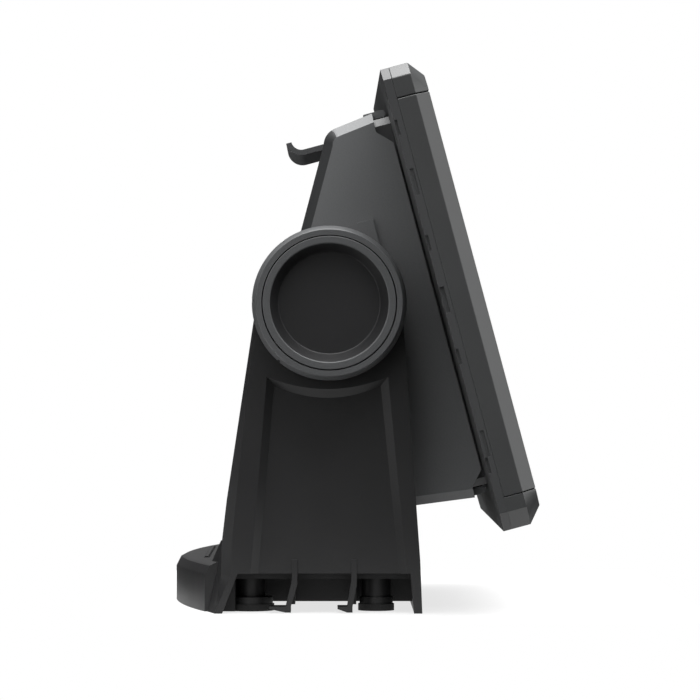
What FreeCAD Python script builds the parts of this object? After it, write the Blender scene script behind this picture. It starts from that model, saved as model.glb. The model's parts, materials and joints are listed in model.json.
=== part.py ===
"""Ten-inch chartplotter in a quick-release cradle on a bail mount with two clamp knobs.

Row frame, millimetres: +Z up, the screen faces -Y, +X to the right of someone facing the screen.
The origin is the centre of the four deck screw holes, on the underside plane.
The display and its cradle are built upright in a head frame whose origin is the tilt axis, with
`a` forwards out of the screen and `b` up the screen, and head() leans them back into place.
"""
import FreeCAD
import Part
import math
import os

V = FreeCAD.Vector

# ---- overall sizes
DISPLAY_W = 292.0          # width of the display
DISPLAY_H = 203.3          # height of the display
DISPLAY_DROP = 11.7        # centre of the display below the tilt axis
LEAN = 15.0                # backwards lean at rest, degrees
PIVOT_Y = -7.0             # tilt axis
PIVOT_Z = 134.0

# ---- display, depths along a
RIM_BACK = 46.5            # back face of the thin rim
SEAM = 50.1                # rear case meets the front trims
SIDE_FRONT = 58.4          # end of the flat side face
FRONT = 64.35              # front plane
CHAMFER_IN = 6.7           # width of the front chamfer, seen from the front
CORNER_TOP = (5.0, 5.6)    # cuts across the upper corners: at the sides, at the front plane
CORNER_LOW = (8.0, 5.5)    # and across the lower corners
TRIM_WALL = 3.0            # wall of the trims
TRIM_LIP = 9.5             # how far the trims reach over the front
TRIM_GAP = 0.2             # trims to the frame they clip on
SEAM_SLIT = 0.3            # slit between neighbouring trims
SEAM_TOP = 13.9            # cross seam below the top edge
SEAM_BOTTOM = 14.3         # cross seam above the bottom edge
GLASS_T = 2.0              # cover glass
GLASS_SINK = 0.3           # glass face behind the front plane
GLASS_GAP = 0.3            # glass edge to the trim lips
LCD_W = 229.0              # ten-inch panel module, 217 x 136 of it lit
LCD_H = 149.0
LCD_T = 4.6
FIT_GAP = 0.3              # drop-in fit of boards and panels
SPREADER_T = 1.5
SPREADER_RIM = 10.0        # spreader beyond the panel, all round
RIM_POCKET = 1.5           # depth of the hollow in the case rim
CASE_WALL = 2.5
GASKET_W = 1.6
GASKET_T = 1.2
GASKET_IN = 3.8            # gasket groove, in from the outline

# ---- bulge on the back of the display
BULGE_HALF = 84.0
BULGE_BACK = 31.0
BULGE_TOP = 73.0
BULGE_BOTTOM = -94.0
BULGE_CORNER = 3.2
ROOF = BULGE_TOP - 3.0     # level that the latch and the cradle's top edge are set from

# ---- cradle
CRADLE_WALL = 3.2
CRADLE_SIDE_GAP = 1.8      # bulge to cradle, each side
CRADLE_HALF = BULGE_HALF + CRADLE_SIDE_GAP + CRADLE_WALL
CRADLE_CHAMFER = 4.0
CRADLE_FRONT = 45.5
CRADLE_CLEAR = 0.5         # bulge to the cradle's top wall
CRADLE_FLOOR_CLEAR = 0.6   # bulge to its bottom wall
PLATE_FRONT = 30.5         # face of the cradle's inner plate
PLATE_T = 3.0
EAR_T = 2.6                # ears stand out from the cradle's sides
EAR_HALF = 31.0            # half height of the ears
EAR_FRONT = 28.0
PAD_T = 1.1
EAR_OUT = CRADLE_HALF + EAR_T
PAD_R = 27.0

# ---- bail
ARM_GAP = 0.3              # friction pad to arm
ARM_W = 19.5
ARM_IN = EAR_OUT + PAD_T + ARM_GAP
ARM_OUT = ARM_IN + ARM_W
BOSS_R = 31.3
FRONT_WALL = 3.5
SKIN_EDGE = 17.2           # lower edge of the arm's outer skin
PANEL_DEPTH = 3.0
PANEL_SLOPE = 3.2
BASE_TOP = 21.5
BASE_SKIN = 3.0
RIB_T = 2.0
HOLE_X = ARM_IN - 7.0      # deck screw holes
HOLE_Y = 27.5
HOLE_R = 2.6
REAR_PAD_R = 10.4
FRONT_PAD_R = 7.9
COLUMN_R = 6.4             # screw columns
DECK_PAD_T = 3.0

# ---- knobs
KNOB_R = 33.3
KNOB_TAPER = 1.3           # the flank draws in this much towards the face
WASHER_T = 1.0
KNOB_GAP = 0.1             # washer to knob
KNOB_BACK = ARM_OUT + WASHER_T + KNOB_GAP
KNOB_T = 20.4
KNOB_FACE = KNOB_BACK + KNOB_T
KNOB_SPLIT_R = 28.9        # groove between the ring and the cap
DISH_R = 25.5
DISH_FLOOR_R = 21.9
DISH_DEPTH = 6.5
NOTCHES = (37.0, 88.0, 139.0)   # small grooves in the flank, degrees from the top towards the rear
NOTCH_R = 0.8
STUD_R = 4.0
RUN = 0.06                 # running clearance of a shaft, radial
BUSH_R = 6.5

# ---- worked out from the sizes above
TOP = DISPLAY_H / 2 - DISPLAY_DROP
BOTTOM = -DISPLAY_H / 2 - DISPLAY_DROP
HALF_W = DISPLAY_W / 2
GLASS_FRONT = FRONT - GLASS_SINK
GLASS_BACK = GLASS_FRONT - GLASS_T
LCD_BACK = GLASS_BACK - LCD_T
SPREADER_BACK = LCD_BACK - SPREADER_T
LOWER_W = LCD_W + 2 * SPREADER_RIM + 2 * FIT_GAP
LOWER_H = LCD_H + 2 * SPREADER_RIM + 2 * FIT_GAP


# ---- helpers in the row frame
def box(x0, x1, y0, y1, z0, z1):
    return Part.makeBox(x1 - x0, y1 - y0, z1 - z0, V(x0, y0, z0))


def cyl_x(r, x0, x1, y, z):
    return Part.makeCylinder(r, x1 - x0, V(x0, y, z), V(1, 0, 0))


def cyl_z(r, z0, z1, x, y):
    return Part.makeCylinder(r, z1 - z0, V(x, y, z0))


def mirror_x(shape):
    return shape.mirror(V(0, 0, 0), V(1, 0, 0))


def line(p, q):
    return Part.LineSegment(p, q).toShape()


def arc(p, m, q):
    return Part.Arc(p, m, q).toShape()


def polygon_x(points, x):
    """Closed wire through (y, z) points in the plane X = x."""
    return Part.makePolygon([V(x, y, z) for y, z in points + points[:1]])


def prism(points, x0, x1):
    """Outline of (y, z) points, extruded from x0 to x1."""
    return Part.Face(polygon_x(points, x0)).extrude(V(x1 - x0, 0, 0))


def fuse(shapes):
    first = shapes[0]
    rest = shapes[1:]
    return first.fuse(rest).removeSplitter() if rest else first


def group(shapes):
    """Separate solids kept in one node."""
    return Part.makeCompound(shapes)


# ---- helpers in the head frame: y = -a, z = b
def head(shape):
    """Lean a head-frame shape back and put it on the tilt axis."""
    placed = shape.copy()
    placed.rotate(V(0, 0, 0), V(1, 0, 0), -LEAN)
    placed.translate(V(0, PIVOT_Y, PIVOT_Z))
    return placed


def hbox(x0, x1, a0, a1, b0, b1):
    return box(x0, x1, -a1, -a0, b0, b1)


def hcyl(r, a0, a1, x, b):
    """Cylinder along a, from a0 to a1."""
    return Part.makeCylinder(r, a1 - a0, V(x, -a0, b), V(0, -1, 0))


def hprism(points, x0, x1):
    return prism([(-a, b) for a, b in points], x0, x1)


def rounded(x0, x1, b0, b1, r, a):
    """Wire of a rounded rectangle in the plane at depth a."""
    k = r * (1 - math.sqrt(0.5))
    p = [
        V(x0 + r, -a, b0), V(x1 - r, -a, b0), V(x1 - k, -a, b0 + k), V(x1, -a, b0 + r),
        V(x1, -a, b1 - r), V(x1 - k, -a, b1 - k), V(x1 - r, -a, b1), V(x0 + r, -a, b1),
        V(x0 + k, -a, b1 - k), V(x0, -a, b1 - r), V(x0, -a, b0 + r), V(x0 + k, -a, b0 + k),
    ]
    return Part.Wire([
        line(p[0], p[1]), arc(p[1], p[2], p[3]), line(p[3], p[4]), arc(p[4], p[5], p[6]),
        line(p[6], p[7]), arc(p[7], p[8], p[9]), line(p[9], p[10]), arc(p[10], p[11], p[0]),
    ])


def block(x0, x1, b0, b1, r, a0, a1):
    """Rounded rectangle extruded from a0 to a1."""
    return Part.Face(rounded(x0, x1, b0, b1, r, a0)).extrude(V(0, a0 - a1, 0))


def cut_corners(x0, x1, b0, b1, low, high, a):
    """Wire of a rectangle with its corners cut off at 45 degrees, in the plane at depth a."""
    p = [
        (x0 + low, b0), (x1 - low, b0), (x1, b0 + low), (x1, b1 - high),
        (x1 - high, b1), (x0 + high, b1), (x0, b1 - high), (x0, b0 + low),
    ]
    return Part.makePolygon([V(x, -a, b) for x, b in p + p[:1]])


def outline(inset, a):
    """Outline of the display, inset all round, in the plane at depth a."""
    k = inset / CHAMFER_IN
    low = CORNER_LOW[0] + (CORNER_LOW[1] - CORNER_LOW[0]) * k
    high = CORNER_TOP[0] + (CORNER_TOP[1] - CORNER_TOP[0]) * k
    return cut_corners(inset - HALF_W, HALF_W - inset, BOTTOM + inset, TOP - inset, low, high, a)


def slab(inset, a0, a1):
    """The display outline, inset, extruded from a0 to a1."""
    return Part.Face(outline(inset, a0)).extrude(V(0, a0 - a1, 0))


def centred(w, h, r, a0, a1):
    """A w by h rounded block on the centre of the screen."""
    mid = (TOP + BOTTOM) / 2
    return block(-w / 2, w / 2, mid - h / 2, mid + h / 2, r, a0, a1)


# ---- display front
def trim_ring():
    """All four trims in one piece, before the seams are cut."""
    sides = slab(0, SEAM, SIDE_FRONT)
    facet = Part.makeLoft([outline(0, SIDE_FRONT), outline(CHAMFER_IN, FRONT)], True, True)
    slope_start = SIDE_FRONT - 0.5
    inner = slab(TRIM_WALL, SEAM - 1, slope_start)
    wires = [outline(TRIM_WALL, slope_start), outline(CHAMFER_IN + 0.6, GLASS_BACK)]
    funnel = Part.makeLoft(wires, True, True)
    mouth = slab(TRIM_LIP, GLASS_BACK - 1, FRONT + 1)
    return sides.fuse(facet).cut(inner).cut(funnel).cut(mouth)


def band(b0, b1, x0, x1):
    return hbox(x0, x1, SEAM - 1, FRONT + 1, b0, b1)


def trims():
    """Left, right, top and bottom trims, parted by the cross seams."""
    ring = trim_ring()
    high = TOP - SEAM_TOP
    low = BOTTOM + SEAM_BOTTOM
    half = SEAM_SLIT / 2
    far = HALF_W + 1
    left = ring.common(band(low + half, high - half, -far, 0))
    right = ring.common(band(low + half, high - half, 0, far))
    top = ring.common(band(high + half, TOP + 1, -far, far))
    bottom = ring.common(band(BOTTOM - 1, low - half, -far, far))
    return left, right, top, bottom


KEY_X = LOWER_W / 2 + 4.6
KEY_B = BOTTOM + 26.0
KEY_R = 4.6
KEY_GAP = 0.08
KEY_PROUD = 0.3
KEY_FLANGE = 0.9
KEY_SHOULDER = GLASS_BACK - 2.0     # shoulder in the frame that stops the flange
KEY_TRAVEL = 0.7
SWITCH_HALF = 7.5
SCREW_IN = 12.0
SCREW_R = 1.3


def screw_places():
    """Six case screws, three down each side."""
    mid = (TOP + BOTTOM) / 2
    return [(s * (HALF_W - SCREW_IN), b) for s in (-1, 1) for b in (TOP - SCREW_IN, mid, BOTTOM + SCREW_IN)]


def bezel_frame():
    step = SIDE_FRONT - 1.4
    low = slab(TRIM_WALL + TRIM_GAP, SEAM, step)
    high = slab(CHAMFER_IN + 0.9, step, GLASS_BACK)
    frame = low.fuse(high)
    frame = frame.cut(centred(LCD_W + 2 * FIT_GAP, LCD_H + 2 * FIT_GAP, 1, SEAM - 1, FRONT))
    frame = frame.cut(centred(LOWER_W, LOWER_H, 2, SEAM - 1, LCD_BACK))
    for x, b in screw_places():
        frame = frame.cut(hcyl(SCREW_R, SEAM - 1, SEAM + 5.3, x, b))
    frame = frame.cut(hcyl(KEY_R + KEY_FLANGE + 0.3, SEAM - 1, KEY_SHOULDER, KEY_X, KEY_B))
    frame = frame.cut(hcyl(KEY_R + KEY_GAP, SEAM, FRONT, KEY_X, KEY_B))
    wide = SWITCH_HALF + 0.2
    return frame.cut(hbox(KEY_X - wide, KEY_X + wide, SEAM - 1, SEAM + 2, KEY_B - wide, KEY_B + wide))


def cover_glass():
    glass = slab(TRIM_LIP + GLASS_GAP, GLASS_BACK, GLASS_FRONT)
    return glass.cut(hcyl(KEY_R + 0.3, GLASS_BACK - 1, FRONT, KEY_X, KEY_B))


def power_key():
    cap = hcyl(KEY_R, KEY_SHOULDER - 1.4, FRONT + KEY_PROUD, KEY_X, KEY_B)
    flange = hcyl(KEY_R + KEY_FLANGE, KEY_SHOULDER - 1.4, KEY_SHOULDER - 0.1, KEY_X, KEY_B)
    return cap.fuse(flange).removeSplitter()


def key_switch():
    """Tact switch on its small board, just under the key."""
    s = SWITCH_HALF
    stop = KEY_SHOULDER - 1.4 - KEY_TRAVEL - 0.1
    board = hbox(KEY_X - s, KEY_X + s, SEAM + 0.4, SEAM + 1.9, KEY_B - s, KEY_B + s)
    body = hbox(KEY_X - 3, KEY_X + 3, SEAM + 1.9, stop - 0.8, KEY_B - 3, KEY_B + 3)
    return fuse([board, body, hcyl(1.6, stop - 0.8, stop, KEY_X, KEY_B)])


def lcd_panel():
    return centred(LCD_W, LCD_H, 0.8, LCD_BACK, GLASS_BACK)


BOARD_HALF = BULGE_HALF - 10.0
POST_X = BOARD_HALF - 14.0
POST_B = (BULGE_BOTTOM + 18.0, ROOF - 26.0)
BOARD_BACK = 42.0
BOARD_T = 1.6
BOARD_FRONT = BOARD_BACK + BOARD_T


def heat_spreader():
    """Sheet behind the panel, with four posts that carry the main board."""
    w = LOWER_W - 2 * FIT_GAP
    h = LOWER_H - 2 * FIT_GAP
    parts = [centred(w, h, 2, SPREADER_BACK, LCD_BACK)]
    for x in (-POST_X, POST_X):
        parts += [hcyl(3, BOARD_FRONT, SPREADER_BACK, x, b) for b in POST_B]
    return fuse(parts)


def main_board():
    board = hbox(-BOARD_HALF, BOARD_HALF, BOARD_BACK, BOARD_FRONT, POST_B[0] - 8, POST_B[1] + 8)
    parts = [board]
    for i in range(3):
        x = -44 + 34 * i
        parts.append(hbox(x, x + 18, BOARD_FRONT, BOARD_FRONT + 2, -20, -2))
    parts.append(hbox(-30, 34, BOARD_FRONT, BOARD_FRONT + 4.5, -60, -48))
    return fuse(parts)


def gps_antenna():
    b = LCD_H / 2 - DISPLAY_DROP - 30
    return hbox(-104, -79, SPREADER_BACK - 4, SPREADER_BACK, b, b + 25)


# ---- display back
POCKET_X = 35.0            # the two latch pockets, either side of the middle
POCKET_HALF = 9.0
POCKET_LIP_T = 2.5
POCKET_LIP_B = ROOF - 7.0  # top edge of the lip that the hook holds
POCKET_TOP = ROOF - 1.2
POCKET_FLOOR = ROOF - 9.5
POCKET_DEEP = 39.5
POCKET_WALL = 1.6

HINGE_X = LOWER_W / 2 - 4.6
DOOR_X1 = HINGE_X - 1.5    # card door, behind the upper right of the screen
DOOR_X0 = DOOR_X1 - 24.5
DOOR_B1 = LOWER_H / 2 - DISPLAY_DROP - 3.1
DOOR_B0 = DOOR_B1 - 28.0
DOOR_T = 2.0
DOOR_GAP = 0.3
HINGE_A = RIM_BACK + 1.6
BARREL_R = 1.5
DOOR_PIN_R = 0.8
TUB_DEEP = 53.0
TUB_WALL = 1.5
READER_B = (DOOR_B0 + DOOR_B1) / 2
READER_HALF = 6.5

MID = (TOP + BOTTOM) / 2
SLOTS = (MID + 75.7, MID + 25.1, MID - 24.8, MID - 72.6)  # small notches in the rear edge of the case
EDGE_PADS = (MID + 51.7, MID - 63.3)                      # long shallow insets in the edge
NOTCH_B = MID


def latch_pocket(x):
    """Sealed block with a lipped pocket, fused to the bulge: (solid, hollow)."""
    w = POCKET_HALF
    t = POCKET_WALL
    solid = hbox(x - w - t, x + w + t, BULGE_BACK, POCKET_DEEP + t, POCKET_FLOOR - t, BULGE_TOP)
    mouth = hbox(x - w, x + w, BULGE_BACK - 1, BULGE_BACK + POCKET_LIP_T, POCKET_LIP_B, POCKET_TOP)
    room = hbox(x - w, x + w, BULGE_BACK + POCKET_LIP_T, POCKET_DEEP, POCKET_FLOOR, POCKET_TOP)
    return solid, mouth.fuse(room)


def edge_details(x_side):
    """Small notches, insets and one long notch cut into the side edge of the rear case."""
    x0 = x_side - 1.4
    x1 = x_side + 1.4
    mid = (RIM_BACK + SEAM) / 2
    cuts = []
    for b in SLOTS:
        cuts.append(hbox(x0, x1, RIM_BACK - 1, RIM_BACK + 1.3, b - 3.4, b + 3.4))
    for b in EDGE_PADS:
        cuts.append(hbox(x_side - 0.5, x_side + 0.5, mid - 0.8, mid + 0.8, b - 5.8, b + 5.8))
    cuts.append(hbox(x_side - 1.2, x_side + 1.2, RIM_BACK - 1, mid + 0.4, NOTCH_B - 5.7, NOTCH_B + 5.7))
    return cuts


def card_tub():
    """Sealed tub behind the card door: (solid, hollow)."""
    t = TUB_WALL
    x1 = HINGE_X + 2.6
    solid = hbox(DOOR_X0 - t, x1 + t, RIM_BACK, TUB_DEEP + t, DOOR_B0 - t, DOOR_B1 + t)
    g = DOOR_GAP
    seat = hbox(DOOR_X0 - g, x1, RIM_BACK - 1, RIM_BACK + DOOR_T + g, DOOR_B0 - g, DOOR_B1 + g)
    barrel = hbox(HINGE_X - 2.6, x1, RIM_BACK - 1, HINGE_A + 2.2, DOOR_B0 + 6, DOOR_B1 - 6)
    room = hbox(DOOR_X0 + 1.6, HINGE_X - 4.5, RIM_BACK, TUB_DEEP, DOOR_B0 + 1.6, DOOR_B1 - 1.6)
    return solid, fuse([seat, barrel, room])


def hinge_ears():
    """Two knuckles of the rear case, above and below the door's barrel."""
    ears = []
    for b0, b1 in ((DOOR_B0, DOOR_B0 + 6), (DOOR_B1 - 6, DOOR_B1)):
        ears.append(Part.makeCylinder(BARREL_R, b1 - b0, V(HINGE_X, -HINGE_A, b0)))
        ears.append(hbox(HINGE_X - 0.9, HINGE_X + 0.9, HINGE_A, HINGE_A + 2.6, b0, b1))
    return ears


def reader_slot(gap):
    x1 = DOOR_X0 + 1.6
    a = RIM_BACK + 3.4
    half = READER_HALF + gap
    return hbox(x1 - 15, x1, a - gap, a + 1.9 + gap, READER_B - half, READER_B + half)


def door_pin_hole(r):
    return Part.makeCylinder(r, DOOR_B1 - DOOR_B0 - 2, V(HINGE_X, -HINGE_A, DOOR_B0 + 1))


def rear_case():
    rim = slab(0, RIM_BACK, SEAM)
    c = BULGE_CORNER
    wire = cut_corners(-BULGE_HALF, BULGE_HALF, BULGE_BOTTOM, BULGE_TOP, c, c, BULGE_BACK)
    bulge = Part.Face(wire).extrude(V(0, BULGE_BACK - RIM_BACK - 1, 0))
    case = rim.fuse(bulge)
    case = case.cut(centred(LOWER_W, LOWER_H, 3, SEAM - RIM_POCKET, SEAM + 1))
    w = CASE_WALL
    inner = block(w - BULGE_HALF, BULGE_HALF - w, BULGE_BOTTOM + w, BULGE_TOP - w, BULGE_CORNER,
                  BULGE_BACK + w, SEAM + 1)
    case = case.cut(inner)
    tub, tub_room = card_tub()
    case = case.fuse(tub)
    pockets = [latch_pocket(s * POCKET_X) for s in (-1, 1)]
    for solid, hollow in pockets:
        case = case.fuse(solid)
    case = case.cut([hollow for solid, hollow in pockets] + [tub_room])
    case = case.fuse(hinge_ears())
    case = case.cut([door_pin_hole(DOOR_PIN_R + 0.03), reader_slot(0.1)])
    for x, b in screw_places():
        case = case.cut(hcyl(SCREW_R + 0.4, RIM_BACK - 1, SEAM + 1, x, b))
        case = case.cut(hcyl(3.2, RIM_BACK - 1, RIM_BACK + 1.9, x, b))
    case = case.cut(gasket(0.05))
    case = case.cut(edge_details(-HALF_W) + edge_details(HALF_W))
    case = case.cut(hcyl(VENT_R + 0.05, RIM_BACK - 1, SEAM, VENT_X, VENT_B))
    case = case.cut(plug_block(0.1))
    return case.removeSplitter()


def gasket(gap):
    """Ring in the joint between case and frame."""
    outer = slab(GASKET_IN - gap, SEAM - GASKET_T - gap, SEAM)
    return outer.cut(slab(GASKET_IN + GASKET_W + gap, SEAM - GASKET_T - gap, SEAM))


def case_screws():
    screws = []
    for x, b in screw_places():
        head_disc = hcyl(2.8, RIM_BACK + 0.3, RIM_BACK + 1.9, x, b)
        socket = hcyl(1.2, RIM_BACK, RIM_BACK + 1.2, x, b)
        shank = hcyl(SCREW_R - 0.05, RIM_BACK + 1.9, SEAM + 5, x, b)
        screws.append(head_disc.fuse(shank).removeSplitter().cut(socket))
    return group(screws)


VENT_R = 4.0
VENT_X = -108.0
VENT_B = 62.0


def vent_plug():
    plug = hcyl(VENT_R, RIM_BACK + 0.1, SEAM - RIM_POCKET, VENT_X, VENT_B)
    flange = hcyl(VENT_R + 1.4, SEAM - RIM_POCKET, SEAM - RIM_POCKET + 1.2, VENT_X, VENT_B)
    return plug.fuse(flange).removeSplitter()


def card_reader():
    return reader_slot(0)


def card_door():
    panel = hbox(DOOR_X0, DOOR_X1, RIM_BACK, RIM_BACK + DOOR_T, DOOR_B0, DOOR_B1)
    b0 = DOOR_B0 + 6.3
    b1 = DOOR_B1 - 6.3
    barrel = Part.makeCylinder(BARREL_R, b1 - b0, V(HINGE_X, -HINGE_A, b0))
    web = hbox(DOOR_X1 - 0.5, HINGE_X, HINGE_A - 1.1, HINGE_A + 0.4, b0, b1)
    grip = hbox(DOOR_X0 - 0.5, DOOR_X0 + 2.5, RIM_BACK - 0.5, RIM_BACK + 0.6, READER_B - 6, READER_B + 6)
    bore = Part.makeCylinder(DOOR_PIN_R + RUN, b1 - b0 + 2, V(HINGE_X, -HINGE_A, b0 - 1))
    return fuse([panel, barrel, web, grip.common(hbox(DOOR_X0, DOOR_X1, 0, FRONT, BOTTOM, TOP))]).cut(bore)


def door_pin():
    return door_pin_hole(DOOR_PIN_R)


PLUG_HALF_X = 26.0
PLUG_HALF_B = 9.0
PLUG_B = -40.0


def plug_block(gap):
    x = PLUG_HALF_X - 3 + gap
    b = PLUG_HALF_B - 3 + gap
    return hbox(-x, x, BULGE_BACK - 1, BULGE_BACK + CASE_WALL + 1, PLUG_B - b, PLUG_B + b)


def dock_plug():
    """Blade connector that joins the display to its cradle."""
    body = plug_block(0).common(hbox(-99, 99, BULGE_BACK, BULGE_BACK + CASE_WALL, BOTTOM, TOP))
    flange = hbox(-PLUG_HALF_X, PLUG_HALF_X, BULGE_BACK + CASE_WALL, BULGE_BACK + CASE_WALL + 2,
                  PLUG_B - PLUG_HALF_B, PLUG_B + PLUG_HALF_B)
    parts = [body, flange]
    for i in range(6):
        x = -17.5 + 7 * i
        parts.append(hbox(x - 1, x + 1, BULGE_BACK - 3.2, BULGE_BACK, PLUG_B - 4, PLUG_B + 4))
    return fuse(parts)


def dock_socket():
    """Socket in the cradle plate, with a slit for each blade."""
    x = PLUG_HALF_X - 2
    b = PLUG_HALF_B - 2
    front = BULGE_BACK - 0.2
    body = hbox(-x, x, PLATE_FRONT - PLATE_T - 5, front, PLUG_B - b, PLUG_B + b)
    for i in range(6):
        s = -17.5 + 7 * i
        body = body.cut(hbox(s - 1.2, s + 1.2, front - 5, front + 1, PLUG_B - 4.2, PLUG_B + 4.2))
    a = PLATE_FRONT - PLATE_T
    back = hbox(-x - 3, x + 3, a - 5, a, PLUG_B - b - 3, PLUG_B + b + 3)
    return body.fuse(back).removeSplitter()


def dock_seal():
    """Rubber ring squeezed between the bulge and the cradle plate, round the connector."""
    outer = block(-PLUG_HALF_X - 5, PLUG_HALF_X + 5, PLUG_B - 14, PLUG_B + 14, 4, PLATE_FRONT, BULGE_BACK)
    inner = block(-PLUG_HALF_X - 2, PLUG_HALF_X + 2, PLUG_B - 11, PLUG_B + 11, 3, PLATE_FRONT, BULGE_BACK)
    return outer.cut(inner)


# ---- cradle
LOWER_BACK = (10.0, BULGE_BOTTOM + 2.0)  # lower end of the sloping back
LEVER_TOP = ROOF + 0.2      # top face of the release lever's plate
LEVER_T = 2.5
LEVER_HALF = 50.0
LEVER_A = 27.0             # lever pin
LEVER_B = ROOF - 3.3
LEVER_PIN_R = 1.5
KNUCKLE_R = 2.6
BAY_TOP = LEVER_TOP + 0.7
BAY_HALF = LEVER_HALF + 1.5


def cradle_outline():
    """Side outline of the cradle, as (a, b) points and one rounded corner."""
    t = ROOF
    u = BULGE_BOTTOM
    notch = CRADLE_FRONT - 6.0
    pts = [
        (CRADLE_FRONT, u + 6.8), (CRADLE_FRONT, t - 9.0), (notch - 0.3, t - 2.6), (notch + 0.1, t + 5.9),
        (22.6, t + 3.8), (15.6, t - 2.0), (-16.5, 12.0), (-16.5, -16.0), LOWER_BACK, (13.9, u - 1.0),
        (notch + 0.3, u - 4.4), (notch + 0.2, u + 0.4),
    ]
    v = [V(-CRADLE_HALF, -a, b) for a, b in pts]
    shoulder = V(-CRADLE_HALF, -18.1, t + 1.9)
    edges = []
    for i in range(len(v)):
        p = v[i]
        q = v[(i + 1) % len(v)]
        edges.append(arc(p, shoulder, q) if i == 4 else line(p, q))
    return Part.Wire(edges)


def side_edges(solid):
    """Edges of the two end faces, except those that face the display."""
    found = []
    for e in solid.Edges:
        c = e.CenterOfMass
        if abs(abs(c.x) - CRADLE_HALF) < 0.01 and -c.y < 39.0:
            found.append(e)
    return found


def lever_boss(side):
    x0 = BAY_HALF + 0.3
    x1 = x0 + 6
    solid = hbox(x0, x1, LEVER_A - 5, LEVER_A + 3, LEVER_B - 5, LEVER_B + 5)
    return solid if side > 0 else mirror_x(solid)


def ear(side):
    """Thick pad on the cradle's side that turns against the arm."""
    outline_pts = [(EAR_FRONT, -EAR_HALF), (EAR_FRONT, EAR_HALF), (8.0, EAR_HALF), (-14.0, 14.0),
                   (-14.0, -16.0), (-6.0, -EAR_HALF)]
    solid = hprism(outline_pts, CRADLE_HALF - 1, EAR_OUT)
    solid = solid.fuse(cyl_x(INSERT_R + 4, INSERT_IN - 2, CRADLE_HALF, 0, 0))
    return solid if side > 0 else mirror_x(solid)


def socket_frame(s):
    """Centre and outward direction of a socket, s along the sloping lower back."""
    p = V(0, 16.5, -16.0)
    q = V(0, -LOWER_BACK[0], LOWER_BACK[1])
    along = (q - p).normalize()
    out = V(0, -along.z, along.y)
    return p + along * s, out


SOCKET_R = 9.0
SOCKET_OUT = 9.0
SOCKET_NECK = 1.0          # the part in the wall is this much larger in radius than the collar
SOCKET_SHOULDER = 0.3      # and stands this far out of the wall
SOCKET_HOLE_GAP = 0.1
POWER_S = 30.0
DATA_S = 30.0
SOCKET_X = (-48.0, -16.0, 16.0, 48.0)   # power, then three data sockets


def socket_cylinder(x, r, start, end):
    """Cylinder square to the lower back, from start to end out of its surface."""
    centre, out = socket_frame(POWER_S if x == SOCKET_X[0] else DATA_S)
    base = centre + out * start
    return Part.makeCylinder(r, end - start, V(x, base.y, base.z), out)


def cradle_shell():
    face = Part.Face(cradle_outline())
    solid = face.extrude(V(2 * CRADLE_HALF, 0, 0))
    solid = solid.makeChamfer(CRADLE_CHAMFER, side_edges(solid))
    w = CRADLE_WALL
    inner_face = face.makeOffset2D(-w, 0)
    inner_face.translate(V(w, 0, 0))
    hollow = inner_face.extrude(V(2 * (CRADLE_HALF - w), 0, 0))
    inner = CRADLE_HALF - w
    mouth = hbox(-inner, inner, PLATE_FRONT, CRADLE_FRONT + 1, BULGE_BOTTOM - CRADLE_FLOOR_CLEAR,
                 BULGE_TOP + CRADLE_CLEAR)
    shell = solid.cut([hollow, mouth])
    shell = shell.fuse([ear(-1), ear(1), lever_boss(-1), lever_boss(1)] + cradle_lips())
    bay = hbox(-BAY_HALF, BAY_HALF, 6, PLATE_FRONT, LEVER_B - 4.5, BAY_TOP)
    shell = shell.cut(bay)
    for x in SOCKET_X:
        shell = shell.cut(socket_cylinder(x, SOCKET_R + SOCKET_NECK + SOCKET_HOLE_GAP, -8, 3))
    shell = shell.fuse(plate_rails())
    pin = cyl_x(LEVER_PIN_R + 0.03, -LEVER_PIN_HALF, LEVER_PIN_HALF, -LEVER_A, LEVER_B)
    spans = ((INSERT_IN, EAR_OUT + 1), (-EAR_OUT - 1, -INSERT_IN))
    bores = [cyl_x(INSERT_R + 0.05, s0, s1, 0, 0) for s0, s1 in spans]
    shell = shell.cut([pin] + bores)
    for x, b in plate_screw_places():
        shell = shell.cut(hcyl(SCREW_R, PLATE_FRONT - PLATE_T - 7, PLATE_FRONT, x, b))
    return shell.removeSplitter()


def cradle_lips():
    """Rounded lips of the top and bottom walls, reaching towards the display."""
    lips = []
    r = 1.6
    for b in (BULGE_TOP + CRADLE_CLEAR + r, BULGE_BOTTOM - CRADLE_FLOOR_CLEAR - r):
        lips.append(hbox(-78, 78, 36.0, CRADLE_FRONT - r, b - r, b + r))
        lips.append(cyl_x(r, -78, 78, r - CRADLE_FRONT, b))
    return lips


def plate_screw_places():
    return [(s * (PLATE_HALF - 9.5), b) for s in (-1, 1) for b in (PLATE_B0 + 12.0, PLATE_B1 - 9.0)]


PLATE_HALF = CRADLE_HALF - CRADLE_WALL - 0.3
PLATE_B0 = BULGE_BOTTOM + 4.0
PLATE_B1 = ROOF - 11.0


def plate_rails():
    """Four screw posts behind the cradle plate, standing on the side walls."""
    posts = []
    for x, b in plate_screw_places():
        x0 = min(x, math.copysign(PLATE_HALF + 0.8, x)) - (4 if x > 0 else 0)
        x1 = max(x, math.copysign(PLATE_HALF + 0.8, x)) + (4 if x < 0 else 0)
        posts.append(hbox(x0, x1, PLATE_FRONT - PLATE_T - 8, PLATE_FRONT - PLATE_T, b - 4, b + 4))
    return posts


def cradle_plate():
    plate = hbox(-PLATE_HALF, PLATE_HALF, PLATE_FRONT - PLATE_T, PLATE_FRONT, PLATE_B0, PLATE_B1)
    x = PLUG_HALF_X - 2 + 0.2
    b = PLUG_HALF_B - 2 + 0.2
    plate = plate.cut(hbox(-x, x, 0, FRONT, PLUG_B - b, PLUG_B + b))
    for sx, sb in plate_screw_places():
        plate = plate.cut(hcyl(SCREW_R + 0.4, 0, FRONT, sx, sb))
    return plate


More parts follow.
